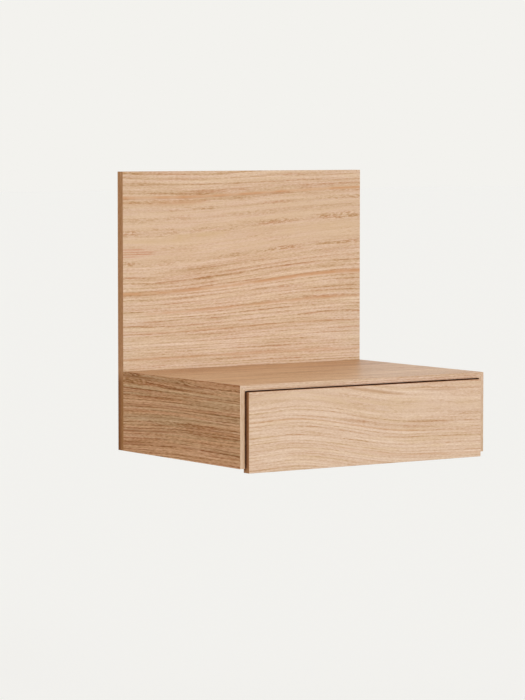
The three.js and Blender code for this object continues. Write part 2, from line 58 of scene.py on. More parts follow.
# The floor: its depth below the object and its size in metres, its paleness and the light that falls on it
FLOOR_DEPTH = 0.45
FLOOR_SIZE = 80.0
FLOOR_ALBEDO = 0.5
FLOOR_LIGHT = (0.84, 0.793, 0.733)


class Lamp(NamedTuple):
    """A large far light. Azimuth 0 is straight in front, and 90 is on the right. Angles are in degrees."""

    name: str
    azimuth: float
    elevation: float
    strength: float
    colour: tuple
    width: float


LAMPS = [
    Lamp("key", 6, 10, 0.635, (0.965, 1.0, 1.045), 36),
    Lamp("left_fill", -96, 6, 0.2, (1.0, 0.95, 0.88), 60),
    Lamp("back_fill", 180, 45, 0.2, (1.0, 0.98, 0.95), 60),
]

# Places on the object, from the frame
LOW, HIGH = 0, 1


def box_corner(node, end):
    """The low or the high corner of a node's box in millimetres."""
    return [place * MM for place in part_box(node)[end]]


WALL_FRONT = box_corner("wall_panel", LOW)[1]
SHELF_TOP = box_corner("top_panel", HIGH)[2]
SIDE_BOTTOM = box_corner("left_side_panel", LOW)[2]
FRONT_RIGHT = box_corner("drawer_front", HIGH)[0]
FRONT_TOP = box_corner("drawer_front", HIGH)[2]


def linear(red, green, blue):
    """A colour as it shows on screen, 0 to 255, as the shader wants it."""
    def channel(value):
        value /= 255
        return value / 12.92 if value <= 0.04045 else ((value + 0.055) / 1.055) ** 2.4
    return channel(red), channel(green), channel(blue), 1.0


# Node trees written as formulas

class Term:
    """A value in a node tree, which can stand in sums and products."""

    def __init__(self, graph, socket):
        self.graph = graph
        self.socket = socket

    def __add__(self, other):
        return self.graph.math("ADD", self, other)

    def __sub__(self, other):
        return self.graph.math("SUBTRACT", self, other)

    def __mul__(self, other):
        return self.graph.math("MULTIPLY", self, other)

    def __truediv__(self, other):
        return self.graph.math("DIVIDE", self, other)

    def __rsub__(self, other):
        return self.graph.math("SUBTRACT", other, self)

    __radd__ = __add__
    __rmul__ = __mul__


class Feature(NamedTuple):
    """A kind of noise: its length and width, its seed and fineness, and the step that gives it edges."""

    length: float
    width: float
    seed: float = 0.0
    detail: float = 1.0
    roughness: float = 0.5
    edges: tuple = ()
    levels: tuple = (0.0, 1.0)


class Graph:
    """A material's node tree."""

    AO_SAMPLES = 8
    AO_RANGE = (0.3, 1.0)

    def __init__(self, name):
        self.material = bpy.data.materials.new(name)
        self.material.use_nodes = True
        self.tree = self.material.node_tree
        self.tree.nodes.clear()
        self.coordinates = self.node("ShaderNodeTexCoord")

    def node(self, kind, **settings):
        node = self.tree.nodes.new(kind)
        for setting, value in settings.items():
            setattr(node, setting, value)
        return node

    def feed(self, socket, value):
        if isinstance(value, Term):
            self.tree.links.new(value.socket, socket)
        else:
            socket.default_value = value

    def math(self, operation, *values):
        node = self.node("ShaderNodeMath", operation=operation)
        for socket, value in zip(node.inputs, values):
            self.feed(socket, value)
        return Term(self, node.outputs[0])

    def absolute(self, value):
        """A value without its sign."""
        return self.math("ABSOLUTE", value)

    def axes(self, output, scale=1.0):
        """The x, y and z of a coordinate output, such as Object or Normal."""
        parts = self.node("ShaderNodeSeparateXYZ")
        self.tree.links.new(self.coordinates.outputs[output], parts.inputs[0])
        return [Term(self, socket) * scale for socket in parts.outputs]

    def step(self, value, low, high, to_low=0.0, to_high=1.0):
        """A smooth step from to_low at low to to_high at high."""
        node = self.node("ShaderNodeMapRange", interpolation_type="SMOOTHSTEP")
        for socket, number in zip(node.inputs, (value, low, high, to_low, to_high)):
            self.feed(socket, number)
        return Term(self, node.outputs[0])

    def noise(self, u, v, w=0.0, detail=2.0, roughness=0.5):
        """Smooth noise about 0.5, with features one unit long."""
        place = self.node("ShaderNodeCombineXYZ")
        for socket, value in zip(place.inputs, (u, v, w)):
            self.feed(socket, value)
        node = self.node("ShaderNodeTexNoise", noise_dimensions="3D", normalize=True)
        self.tree.links.new(place.outputs[0], node.inputs["Vector"])
        node.inputs["Scale"].default_value = 1.0
        node.inputs["Detail"].default_value = detail
        node.inputs["Roughness"].default_value = roughness
        return Term(self, node.outputs["Fac"])

    def feature(self, kind, along, across, seed=0.0, lift=0.0):
        """The noise of a feature. If it has edges, lift raises the noise before its step."""
        u = along / kind.length
        v = across / kind.width
        noise = self.noise(u, v, seed + kind.seed, kind.detail, kind.roughness)
        return self.step(noise + lift, *kind.edges, *kind.levels) if kind.edges else noise

    def swing(self, kind, along, across, seed=0.0):
        """The noise of a feature about 0."""
        return self.feature(kind, along, across, seed) - 0.5

    def solid_noise(self, place, sizes, detail=2.0):
        """Noise in three directions, with features of a size along each."""
        return self.noise(*[axis / size for axis, size in zip(place, sizes)], detail=detail)

    def luck(self, value):
        """A random number from 0 to 1 for each whole number."""
        node = self.node("ShaderNodeTexWhiteNoise", noise_dimensions="1D")
        self.feed(node.inputs["W"], value)
        return Term(self, node.outputs["Value"])

    def openness(self, reach):
        """How open a place is, from 0 in a narrow gap to 1 where nothing is within reach."""
        node = self.node("ShaderNodeAmbientOcclusion", samples=self.AO_SAMPLES)
        node.inputs["Distance"].default_value = reach / MM
        return self.step(Term(self, node.outputs["AO"]), *self.AO_RANGE)

    def ramp(self, value, stops):
        """A colour that changes with value from 0 to 1, through stops of (place, colour)."""
        node = self.node("ShaderNodeValToRGB")
        elements = node.color_ramp.elements
        while len(elements) < len(stops):
            elements.new(0.5)
        for element, (place, colour) in zip(elements, stops):
            element.position = place
            element.color = colour
        self.feed(node.inputs["Fac"], value)
        return Term(self, node.outputs["Color"])

    def profile(self, value, points):
        """A curve from 0 to 1 through points of (place, height)."""
        return self.ramp(value, [(place, (height, height, height, 1.0)) for place, height in points])

    def blend(self, kind, share, first, second):
        """A mix node for colours. Inputs 6 and 7 and output 2 are its colour sockets."""
        node = self.node("ShaderNodeMix", data_type="RGBA", blend_type=kind)
        for socket, value in zip((0, 6, 7), (share, first, second)):
            self.feed(node.inputs[socket], value)
        return Term(self, node.outputs[2])

    def mix(self, share, first, second):
        """A colour between two others."""
        return self.blend("MIX", share, first, second)

    def tint(self, colour, filter_colour):
        """A colour seen through a filter."""
        return self.blend("MULTIPLY", 1.0, colour, filter_colour)

    def pick(self, share, first, second):
        """A number between two others."""
        return first * (1.0 - share) + second * share

    def surface(self, colour, roughness, height, depth, metallic=0.0, specular=0.5):
        """The shader, with a bump whose height of 1 is depth in millimetres."""
        shader = self.node("ShaderNodeBsdfPrincipled")
        self.feed(shader.inputs["Base Color"], colour)
        self.feed(shader.inputs["Roughness"], roughness)
        shader.inputs["Metallic"].default_value = metallic
        shader.inputs["Specular IOR Level"].default_value = specular
        bump = self.node("ShaderNodeBump")
        bump.inputs["Distance"].default_value = depth / MM
        self.feed(bump.inputs["Height"], height)
        self.tree.links.new(bump.outputs[0], shader.inputs["Normal"])
        output = self.node("ShaderNodeOutputMaterial")
        self.tree.links.new(shader.outputs[0], output.inputs["Surface"])
        return self.material


# Oak veneer: colours

# From the darkest lines of the grain to its palest, in the rosier and in the greener parts
OAK_ROSY = [
    (0.0, linear(160, 104, 62)), (0.25, linear(190, 140, 101)), (0.5, linear(215, 184, 158)),
    (0.75, linear(238, 216, 197)), (1.0, linear(248, 236, 222)),
]
OAK_OLIVE = [
    (0.0, linear(146, 102, 56)), (0.25, linear(181, 140, 95)), (0.5, linear(213, 183, 153)),
    (0.75, linear(234, 209, 182)), (1.0, linear(246, 230, 206)),
]
OAK_PORE = linear(164, 120, 76)
OAK_VEIN = linear(199, 146, 100)
OAK_RED = linear(196, 130, 100)
OAK_BARK = linear(170, 120, 78)
OAK_GREEN = linear(207, 176, 132)

# Tints that multiply the colour of a board's faces or of its lippings
CLEAR = linear(255, 255, 255)
PALE = linear(255, 253, 249)
WALL_ABOVE = linear(255, 254, 251)
WALL_BELOW = linear(252, 255, 255)
WALL_EDGE_ABOVE = linear(229, 201, 170)
WALL_EDGE_BELOW_FRONT = linear(206, 172, 132)
WALL_EDGE_BELOW_REAR = linear(166, 126, 88)
FRONT_TOP_EDGE = linear(236, 199, 164)
FRONT_END_EDGE = linear(224, 194, 162)
# Painted shade on the drawer front's lippings where the gaps around it close on them
FRONT_GAP_PAINTED_SHADE = linear(110, 44, 14)
# Painted shade on the lippings of the sides and the shelf beside the gap
CABINET_GAP_PAINTED_SHADE = linear(160, 92, 44)
# The shelf's tints: an amber that paints warm light bounced from the wall panel, painted shade towards the
# wall, and a painted shadow in the corner against it
SHELF_FRONT_WARM_PAINTED_LIGHT = linear(249, 232, 209)
SHELF_REAR_PAINTED_SHADE = linear(234, 208, 177)
SHELF_CORNER_PAINTED_SHADOW = linear(238, 232, 222)
SIDE_ROSY = linear(252, 226, 201)
SIDE_GREEN = linear(242, 229, 206)

# Heights above the shelf between which the wall panel's tints change
WALL_BLEND = (16.0, 156.0)
WALL_EDGE_BLEND = (-20.0, 2.0)

# Places behind the wall panel's front between which its lippings change, and the shelf's tints: its painted
# shade towards the wall and its painted shadow in the corner against it
WALL_EDGE_BLEND_BACK = (3.0, 11.0)
SHELF_SHADE_BLEND = (-136.0, 0.0)
SHELF_CORNER_SHADOW_BLEND = (-24.0, -2.0)

# The sides turn rosy towards their bottom: the heights above it, by how much, and their rosy streaks
SIDE_ROSY_BLEND = (8.0, 28.0)
SIDE_HUE = Feature(190, 7, 5.0, detail=2.0)
SIDE_ROSY_SHIFT = -0.2
SIDE_HUE_STEP = (0.34, 0.66)

# How far inside the drawer front's box its end and top tints start and are complete
EDGE_BLEND = (-0.9, -0.4)

# How far a gap reaches to darken the lippings with painted shade, and how far below the sides the drawer
# front is clear of it
FRONT_GAP_REACH = 12.0
CABINET_GAP_REACH = 5.0
CLEAR_BELOW = 2.0


def shifted(place, reach):
    """The two places that a pair of distances gives from one place."""
    return [place + distance for distance in reach]


def wall_face(graph, x, y, z):
    """The wall panel, with less red below to make up for the warm light that the shelf throws on it."""
    return graph.mix(graph.step(z, *shifted(SHELF_TOP, WALL_BLEND)), WALL_BELOW, WALL_ABOVE)


def wall_edge(graph, x, y, z):
    """The wall panel's lippings, darker below the shelf."""
    back = graph.step(y, *shifted(WALL_FRONT, WALL_EDGE_BLEND_BACK))
    below = graph.mix(back, WALL_EDGE_BELOW_FRONT, WALL_EDGE_BELOW_REAR)
    return graph.mix(graph.step(z, *shifted(SHELF_TOP, WALL_EDGE_BLEND)), below, WALL_EDGE_ABOVE)


def drawer_edge(graph, x, y, z):
    """The drawer front's lippings, darker at the ends and on top, with painted shade where a gap closes on
    them.
    """
    on_end = graph.step(graph.absolute(x), *shifted(FRONT_RIGHT, EDGE_BLEND))
    on_top = graph.step(z, *shifted(FRONT_TOP, EDGE_BLEND))
    tint = graph.mix(on_end, graph.mix(on_top, PALE, FRONT_TOP_EDGE), FRONT_END_EDGE)
    below = graph.step(z, SIDE_BOTTOM - CLEAR_BELOW, SIDE_BOTTOM, 1.0, 0.0)
    # Painted shade in the gap, kept off the drawer front's lip below the sides
    unshaded_share = graph.math("MAXIMUM", graph.openness(FRONT_GAP_REACH), below)
    return graph.tint(tint, graph.mix(unshaded_share, FRONT_GAP_PAINTED_SHADE, CLEAR))


def cabinet_edge(graph, x, y, z):
    """The lippings of the sides and the shelf, with painted shade beside the gap."""
    return graph.mix(graph.openness(CABINET_GAP_REACH), CABINET_GAP_PAINTED_SHADE, CLEAR)


def shelf_face(graph, x, y, z):
    """The shelf, amber with painted warm light bounced from the wall panel, darker towards the wall with
    painted shade, and with a painted shadow in the corner against the wall.
    """
    tint = graph.mix(graph.step(y, *shifted(WALL_FRONT, SHELF_SHADE_BLEND)), SHELF_FRONT_WARM_PAINTED_LIGHT, SHELF_REAR_PAINTED_SHADE)
    # Painted contact shadow along the corner where the shelf meets the wall panel
    corner_shadow_share = graph.step(y, *shifted(WALL_FRONT, SHELF_CORNER_SHADOW_BLEND))
    return graph.tint(tint, graph.mix(corner_shadow_share, CLEAR, SHELF_CORNER_PAINTED_SHADOW))


def side_face(graph, x, y, z):
    """The side panels, whose streaks turn from rosy to green, and rosier towards the bottom."""
    low = graph.step(z, *shifted(SIDE_BOTTOM, SIDE_ROSY_BLEND), SIDE_ROSY_SHIFT, 0.0)
    hue = graph.feature(SIDE_HUE, y, z) + low
    return graph.mix(graph.step(hue, *SIDE_HUE_STEP), SIDE_ROSY, SIDE_GREEN)


# Oak veneer: growth rings

class Arch(NamedTuple):
    """A flat cut's arch: its place across the grain, its radius and the rings per millimetre far from it.

    lean shifts the rings per millimetre all over, and spread changes them with the distance.
    """

    place: float
    radius: float
    near: float
    lean: float = 0.0
    spread: float = 0.0


WALL_ARCH = Arch(70.5, 28.0, 0.09, -0.055, 0.0003)
FRONT_ARCH = Arch(-108.0, 14.0, 0.155, -0.03, 0.0003)
SIDE_ARCH = Arch(-92.0, 9.0, 0.22, spread=-0.0001)
SHELF_ARCH = Arch(-170.0, 16.0, 0.13, 0.02)

# Bends of the grain, as smooth steps: where they start and end, and the height at each
WALL_TURN = (-190.0, 200.0)
WALL_TURN_HEIGHT = 30.0
WALL_TURN_LEAN = 0.45
WALL_CLIMB = 28.0
WALL_CLIMB_HEIGHT = 85.0
WALL_CLIMB_REACH = 100.0
FRONT_BENDS = [(-215.0, -120.0, 0.0, -3.0), (-140.0, 85.0, 0.0, 27.0), (60.0, 215.0, 0.0, 3.0)]
SIDE_RISE_ALONG = (-175.0, 40.0, 9.5, 0.0)
SIDE_RISE_ACROSS = (-150.0, -96.0, 1.0, 0.0)
SIDE_CREST_ALONG = (-220.0, -60.0, 0.0, 5.0)
SIDE_CREST_ACROSS = (-104.0, -92.0, 0.0, 1.0)
SHELF_BEND = (-210.0, 210.0, -9.0, 9.0)

# The least rings per millimetre that a ring's width is worked out from
LEAST_RATE = 0.01


def growth(graph, flow, arch):
    """Growth rings of a flat cut and their width: wide at the arch, and closer away from it."""
    t = flow - arch.place
    far = graph.math("SQRT", t * t + arch.radius * arch.radius)
    rate = t / far * arch.near + arch.lean + t * (2.0 * arch.spread)
    ring = (far - arch.radius) * arch.near + t * arch.lean + t * t * arch.spread
    return ring, graph.math("DIVIDE", 1.0, graph.absolute(rate) + LEAST_RATE), flow


def wall_rings(graph, u, v):
    """Grain that climbs to the right, most at mid height."""
    off = (v - WALL_CLIMB_HEIGHT) / WALL_CLIMB_REACH
    climb = graph.math("EXPONENT", off * off * -1.0) * WALL_CLIMB
    turn = graph.step(u - (v - WALL_TURN_HEIGHT) * WALL_TURN_LEAN, *WALL_TURN)
    return growth(graph, v - climb * turn, WALL_ARCH)


def front_rings(graph, u, v):
    """Grain that falls to the right in a long wave."""
    return growth(graph, sum((graph.step(u, *bend) for bend in FRONT_BENDS), v), FRONT_ARCH)


def side_rings(graph, u, v):
    """Grain that rises towards the front, and along the top towards the rear."""
    rise = graph.step(u, *SIDE_RISE_ALONG) * graph.step(v, *SIDE_RISE_ACROSS)
    crest = graph.step(u, *SIDE_CREST_ALONG) * graph.step(v, *SIDE_CREST_ACROSS)
    return growth(graph, v - rise - crest, SIDE_ARCH)


def shelf_rings(graph, u, v):
    """Nearly straight grain that comes forward a little to the right."""
    return growth(graph, v + graph.step(u, *SHELF_BEND), SHELF_ARCH)


# Oak veneer: figure

# Features of the grain. FADE and PATCHES count rings, not millimetres, across it.
WANDER = Feature(75, 8, 0.0, detail=3.0, roughness=0.55)
UNEVEN = Feature(300, 12, 7.1)
DASHES = Feature(9, 1.1, 1.7, detail=2.0, edges=(0.4, 0.62))
SPECKS = Feature(6, 1.4, 4.4, detail=2.0, edges=(0.5, 0.64))
FADE = Feature(45, 1.25, 5.3, detail=2.0, edges=(0.32, 0.56), levels=(0.45, 1.0))
PATCHES = Feature(60, 0.625, 12.3, detail=2.0, edges=(0.34, 0.6), levels=(0.12, 1.0))
FIBRE = Feature(120, 1.7, 2.2)
GRIT = Feature(5, 1.1, 8.8)
STREAK = Feature(150, 9, 6.6, detail=3.0, roughness=0.6)
HUE = Feature(70, 5, 9.4, detail=3.0, roughness=0.6)
PORES = Feature(3, 0.3, 3.1, edges=(0.58, 0.7))
VEIN_BREAKS = Feature(40, 10, 0.0, detail=2.0, edges=(0.35, 0.6), levels=(0.5, 1.0))

# How far the grain wanders across the board, and the rings with it and by themselves
WANDER_ACROSS = 1.8
WANDER_RINGS = 0.7
UNEVEN_RINGS = 2.0

# The width of the rings on the lippings, and the widths between which rings count as wide
EDGE_RING = 3.0
WIDE_RINGS = (8.0, 14.0)

# How dark the early wood is through a ring, and the band of specks in wide rings
EARLY_WOOD = [(0.0, 0.2), (0.1, 1.0), (0.24, 0.6), (0.44, 0.0), (0.9, 0.0), (1.0, 0.2)]
SPECK_BAND = [(0.0, 0.3), (0.1, 0.9), (0.3, 1.0), (0.5, 0.5), (0.64, 0.0), (1.0, 0.3)]

# How much the band and the early wood help specks and pores to show
SPECK_LIFT = 0.08
PORE_LIFT = 0.06

# Strength of the lines: the share that differs from ring to ring, the dashes and the specks
LUCK_SHARE = 0.6
DASH_SHARE = 0.75
DASH_BASE = 0.5
SPECK_STRENGTH = 1.9

# How much each feature lightens or darkens the wood, and how much calmer wide rings are
FIBRE_SHADE = 0.65
GRIT_SHADE = 0.8
LINE_SHADE = -0.62
STREAK_SHADE = 0.75
WIDE_CALM = 0.5

# The ramps of colours take shades from -0.5 to 1.5
SHADE_SCALE = 0.5
SHADE_BASE = 0.25

# The step from rosy to olive, how much greener wide rings are, and how strong the pores' colour is
OLIVE_STEP = (0.36, 0.64)
OLIVE_WIDE = 0.04
PORE_TINT = 0.25

# How far the ends of a vein fade in
VEIN_TIP = 20.0

# How high each feature stands on the surface, and how much it dulls it
GRAIN_DEPTH = 0.1
GRIT_HEIGHT = -0.3
PORE_HEIGHT = -0.7
LINE_HEIGHT = -0.35
PORE_DULLNESS = 0.1
LINE_DULLNESS = 0.06
EDGE_DULLNESS = 0.3

# How squarely a face looks along an axis before it counts as facing that way
FACING = (0.55, 0.65)


class Vein(NamedTuple):
    """A coloured vein: its place across the grain, half its width, its strength and its two ends."""

    place: float
    half: float
    strength: float
    left: float
    right: float
    colour: tuple


WALL_VEINS = [
    Vein(162.5, 3.8, 0.85, -230.0, 230.0, OAK_VEIN),
    Vein(160.5, 1.2, 0.5, -230.0, 90.0, OAK_BARK),
    Vein(154.5, 6.0, 0.4, -230.0, -60.0, OAK_VEIN),
    Vein(104.0, 6.5, 0.5, -130.0, -20.0, OAK_GREEN),
    Vein(99.0, 5.0, 0.35, -230.0, -90.0, OAK_GREEN),
    Vein(94.0, 9.0, 0.3, 60.0, 230.0, OAK_GREEN),
    Vein(88.0, 1.4, 0.65, -230.0, -165.0, OAK_RED),
    Vein(84.4, 1.3, 0.75, -230.0, -145.0, OAK_RED),
    Vein(81.0, 1.4, 0.75, -230.0, -150.0, OAK_RED),
    Vein(77.4, 1.6, 0.55, -230.0, -165.0, OAK_RED),
    Vein(24.5, 3.4, 0.8, -230.0, 230.0, OAK_VEIN),
    Vein(-5.0, 2.8, 0.55, -180.0, 230.0, OAK_VEIN),
    Vein(-33.0, 2.4, 0.3, -230.0, 230.0, OAK_VEIN),
    Vein(-70.0, 2.8, 0.4, -230.0, 230.0, OAK_VEIN),
]
FRONT_VEINS = [
    Vein(-86.0, 3.0, 0.45, -45.0, 70.0, OAK_BARK),
    Vein(-81.5, 2.4, 0.4, 75.0, 170.0, OAK_BARK),
    Vein(-138.0, 2.0, 0.4, -210.0, 100.0, OAK_VEIN),
    Vein(-172.0, 2.2, 0.3, -60.0, 230.0, OAK_VEIN),
]
SIDE_VEINS = [
    Vein(-97.0, 1.8, 0.8, -230.0, 40.0, OAK_BARK),
    Vein(-113.0, 2.0, 0.3, -300.0, 40.0, OAK_VEIN),
    Vein(-134.0, 2.2, 0.5, -300.0, 40.0, OAK_BARK),
    Vein(-144.0, 2.0, 0.4, -300.0, 40.0, OAK_VEIN),
    Vein(-153.0, 2.0, 0.4, -300.0, 40.0, OAK_BARK),
    Vein(-172.0, 3.0, 0.75, -160.0, 40.0, OAK_BARK),
    Vein(-190.0, 2.0, 0.5, -300.0, 40.0, OAK_BARK),
]


class Board(NamedTuple):
    """An oak board: the axes along its grain, across it and through it, its growth rings and its tones.

    tone is how pale the wood is. contrast and streaks strengthen the fine and the broad grain of the
    faces, and band is the width of the streaks. length stretches the figure, and tilt turns it greener.
    face and edge are the tints of the faces and of the lippings, or functions that give them.
    """

    name: str
    axes: str
    rings: object
    seed: float
    veins: tuple = ()
    tone: float = 0.54
    contrast: float = 1.0
    streaks: float = 1.0
    band: float = 9.0
    length: float = 1.0
    tilt: float = 0.0
    face: object = CLEAR
    edge: object = CLEAR
    roughness: float = 0.5
    specular: float = 0.22


SIDE_BOARD = Board(
    "side_oak", "yzx", side_rings, 0.0, SIDE_VEINS,
    contrast=2.3, streaks=1.8, length=1.8, tilt=0.07, face=side_face, edge=cabinet_edge,
)
BOARDS = {
    "wall_panel": Board(
        "wall_oak", "xzy", wall_rings, 3.0, WALL_VEINS,
        tone=0.56, face=wall_face, edge=wall_edge,
    ),
    "drawer_front": Board(
        "front_oak", "xzy", front_rings, 11.0, FRONT_VEINS,
        tone=0.68, contrast=0.88, tilt=-0.07, face=PALE, edge=drawer_edge, specular=0.08,
    ),
    "top_panel": Board(
        "shelf_oak", "xyz", shelf_rings, 19.0,
        tone=0.66, contrast=1.25, streaks=2.2, band=24.0, face=shelf_face, edge=cabinet_edge,
        roughness=0.33, specular=0.17,
    ),
    "bottom_panel": Board("bottom_oak", "xyz", shelf_rings, 27.0),
    "left_side_panel": SIDE_BOARD._replace(name="left_side_oak", seed=35.0),
    "right_side_panel": SIDE_BOARD._replace(name="right_side_oak", seed=43.0),
}


def board_coordinates(graph, place, axes):
    """Along and across the grain in millimetres, with lippings along the edges, and where the faces are."""
    grain, across, thick = axes
    facing = dict(zip("xyz", graph.axes("Normal")))
    on_face = graph.step(graph.absolute(facing[thick]), *FACING)
    on_end = graph.step(graph.absolute(facing[grain]), *FACING)
    u = graph.pick(on_end, place[grain], place[across])
    v = graph.pick(on_face, place[thick], place[across])
    return u, v, on_face


def ring_lines(graph, ring, wide, along, flow, seed):
    """The early wood of each ring, and its lines: dashes in narrow rings and specks in wide ones."""
    phase = graph.math("FRACT", ring)
    luck = graph.luck(graph.math("FLOOR", ring) + seed)
    early = graph.profile(phase, EARLY_WOOD)
    dashes = graph.feature(DASHES, along, flow, seed)
    fade = graph.feature(FADE, along, ring, seed)
    narrow_line = early * fade * (dashes * DASH_SHARE + DASH_BASE)
    band = graph.profile(phase, SPECK_BAND)
    specks = graph.feature(SPECKS, along, flow, seed, band * SPECK_LIFT)
    patches = graph.feature(PATCHES, along, ring, seed)
    wide_line = band * patches * specks * SPECK_STRENGTH
    line = (luck * LUCK_SHARE + (1.0 - LUCK_SHARE)) * graph.pick(wide, narrow_line, wide_line)
    return early, line


def add_veins(graph, colour, board, u, flow, share):
    """The colour with the board's veins, which fade at their ends and break here and there."""
    for vein in board.veins:
        off = graph.absolute(flow - vein.place) / vein.half
        depth = graph.step(off, 0.0, 1.0, vein.strength, 0.0)
        starts = graph.step(u, vein.left, vein.left + VEIN_TIP)
        ends = graph.step(u, vein.right - VEIN_TIP, vein.right, 1.0, 0.0)
        breaks = graph.feature(VEIN_BREAKS, u, vein.place, board.seed)
        colour = graph.mix(depth * breaks * starts * ends * share, colour, vein.colour)
    return colour


def oak(board):
    """The material of a board in flat-cut oak veneer, with lippings along its edges."""
    graph = Graph(board.name)
    seed = board.seed
    place = dict(zip("xyz", graph.axes("Object", MM)))
    u, v, on_face = board_coordinates(graph, place, board.axes)
    along = u / board.length

    ring, width, flow = board.rings(graph, u, v)
    wide = graph.step(width, *WIDE_RINGS)
    wander = graph.swing(WANDER, along, flow, seed)
    flow = graph.pick(on_face, v, flow) + wander * WANDER_ACROSS
    uneven = graph.swing(UNEVEN, along, flow, seed) * (1.0 - wide)
    ring = graph.pick(on_face, v / EDGE_RING + seed, ring)
    ring = ring + wander * WANDER_RINGS + uneven * UNEVEN_RINGS
    early, line = ring_lines(graph, ring, wide, along, flow, seed)

    fibre = graph.swing(FIBRE, along, flow, seed)
    grit = graph.swing(GRIT, along, flow, seed)
    streak = graph.swing(STREAK._replace(width=board.band), along, flow, seed)
    pores = graph.feature(PORES, along, flow, seed, early * PORE_LIFT)
    calm = wide * WIDE_CALM
    fine = fibre * FIBRE_SHADE + grit * GRIT_SHADE + line * LINE_SHADE
    fine = fine * (graph.pick(on_face, 1.0, board.contrast) - calm)
    broad = streak * STREAK_SHADE * (graph.pick(on_face, 1.0, board.streaks) - calm)
    shade = (fine + broad + board.tone) * SHADE_SCALE + SHADE_BASE

    hue = graph.feature(HUE, along, flow, seed) + wide * OLIVE_WIDE + board.tilt
    olive = graph.step(hue, *OLIVE_STEP)
    colour = graph.mix(olive, graph.ramp(shade, OAK_ROSY), graph.ramp(shade, OAK_OLIVE))
    colour = graph.mix(pores * PORE_TINT, colour, OAK_PORE)
    colour = add_veins(graph, colour, board, u, flow, on_face * (grit + 1.0))
    tints = [part(graph, *place.values()) if callable(part) else part for part in (board.edge, board.face)]
    colour = graph.tint(colour, graph.mix(on_face, *tints))

    height = grit * GRIT_HEIGHT + pores * PORE_HEIGHT + line * LINE_HEIGHT
    dullness = pores * PORE_DULLNESS + line * LINE_DULLNESS + (1.0 - on_face) * EDGE_DULLNESS
    return graph.surface(colour, dullness + board.roughness, height, GRAIN_DEPTH, specular=board.specular)


# Birch plywood

# How many sizes of noise are in fine marks, in the other materials too
FINE_DETAIL = 3.0

# Colours of the faces, then of the layers, and the sizes of the figure
BIRCH_PALE = linear(228, 209, 178)
BIRCH_WARM = linear(214, 188, 150)
BIRCH_FLECK = linear(186, 152, 110)
BIRCH_LIGHT_PLY = linear(222, 198, 160)
BIRCH_DARK_PLY = linear(176, 134, 92)
BIRCH_ROUGH = linear(160, 120, 80)
BIRCH_WAVE = Feature(90, 14, detail=2.0)
BIRCH_FIGURE = Feature(70, 2.2, 2.0, detail=4.0)
BIRCH_FLECKS = Feature(3.5, 0.4, edges=(0.66, 0.78))
BIRCH_BEND = 13.2
BIRCH_GRIT = (1.2, 0.3, 1.2)

# The step between the pale and the warm parts, and how strongly flecks and rough places show
BIRCH_FIGURE_STEP = (0.32, 0.72)
BIRCH_FLECK_SHARE = 0.35
BIRCH_ROUGH_SHARE = 0.3

# Roughness, its change with the figure, and the bump
BIRCH_ROUGHNESS = 0.42
BIRCH_ROUGHNESS_CHANGE = 0.12
BIRCH_FIGURE_HEIGHT = 0.3
BIRCH_FLECK_HEIGHT = -0.4
PLY_HEIGHT = -0.4
BIRCH_DEPTH = 0.08

# The layers: their thickness, how squarely a face looks along it before they are hidden, where each pair of
# layers is dark, and how strongly
PLY = 1.33
PLY_FACING = (0.9, 0.97)
PLY_PAIR = [(0.0, 0.0), (0.47, 0.0), (0.53, 1.0), (0.97, 1.0), (1.0, 0.0)]
PLY_SHARE = 0.8


def birch(name, axes, first):
    """Birch plywood whose layers show on its edges.

    first is the place through the board where the layers start. It also varies the figure.
    """
    graph = Graph(name)
    place = dict(zip("xyz", graph.axes("Object", MM)))
    facing = dict(zip("xyz", graph.axes("Normal")))
    u, v, w = [place[axis] for axis in axes]
    on_edge = graph.step(graph.absolute(facing[axes[2]]), *PLY_FACING, 1.0, 0.0)
    wave = graph.swing(BIRCH_WAVE, u, v, first)
    figure = graph.feature(BIRCH_FIGURE, u, v + wave * BIRCH_BEND, first)
    flecks = graph.feature(BIRCH_FLECKS, u, v, first)
    face = graph.mix(graph.step(figure, *BIRCH_FIGURE_STEP), BIRCH_PALE, BIRCH_WARM)
    face = graph.mix(flecks * BIRCH_FLECK_SHARE, face, BIRCH_FLECK)
    dark = graph.profile(graph.math("FRACT", (w - first) / (2.0 * PLY)), PLY_PAIR)
    edge = graph.mix(dark * PLY_SHARE, BIRCH_LIGHT_PLY, BIRCH_DARK_PLY)
    grit = graph.solid_noise((u, w, v), BIRCH_GRIT, FINE_DETAIL)
    edge = graph.mix(grit * BIRCH_ROUGH_SHARE, edge, BIRCH_ROUGH)
    roughness = figure * BIRCH_ROUGHNESS_CHANGE + BIRCH_ROUGHNESS
    height = figure * BIRCH_FIGURE_HEIGHT + flecks * BIRCH_FLECK_HEIGHT + on_edge * dark * PLY_HEIGHT
    return graph.surface(graph.mix(on_edge, face, edge), roughness, height, BIRCH_DEPTH)


# Beech, steel and plastic. Sizes of marks go along x, y and z.

BEECH_PALE = linear(216, 178, 132)
BEECH_DARK = linear(190, 146, 100)
BEECH_FLECK = linear(140, 98, 62)
BEECH_STREAKS = (20.0, 0.9, 0.9)
BEECH_FLECKS = (2.5, 0.35, 0.35)
BEECH_FLECK_STEP = (0.6, 0.7)
BEECH_FLECK_SHARE = 0.5
BEECH_ROUGHNESS = 0.65
BEECH_ROUGHNESS_CHANGE = 0.1
BEECH_DEPTH = 0.1

ROLLING_MARK = 0.25
ROLLING_SHARE = 0.25
ROLLING_DULLNESS = 0.1
CLOUDS = (9.0, 14.0, 9.0)
CLOUD_STEP = (0.2, 0.8)
CLOUD_DULL_STEP = (0.3, 0.7)
CLOUD_DULLNESS = 0.05
STEEL_DEPTH = 0.02

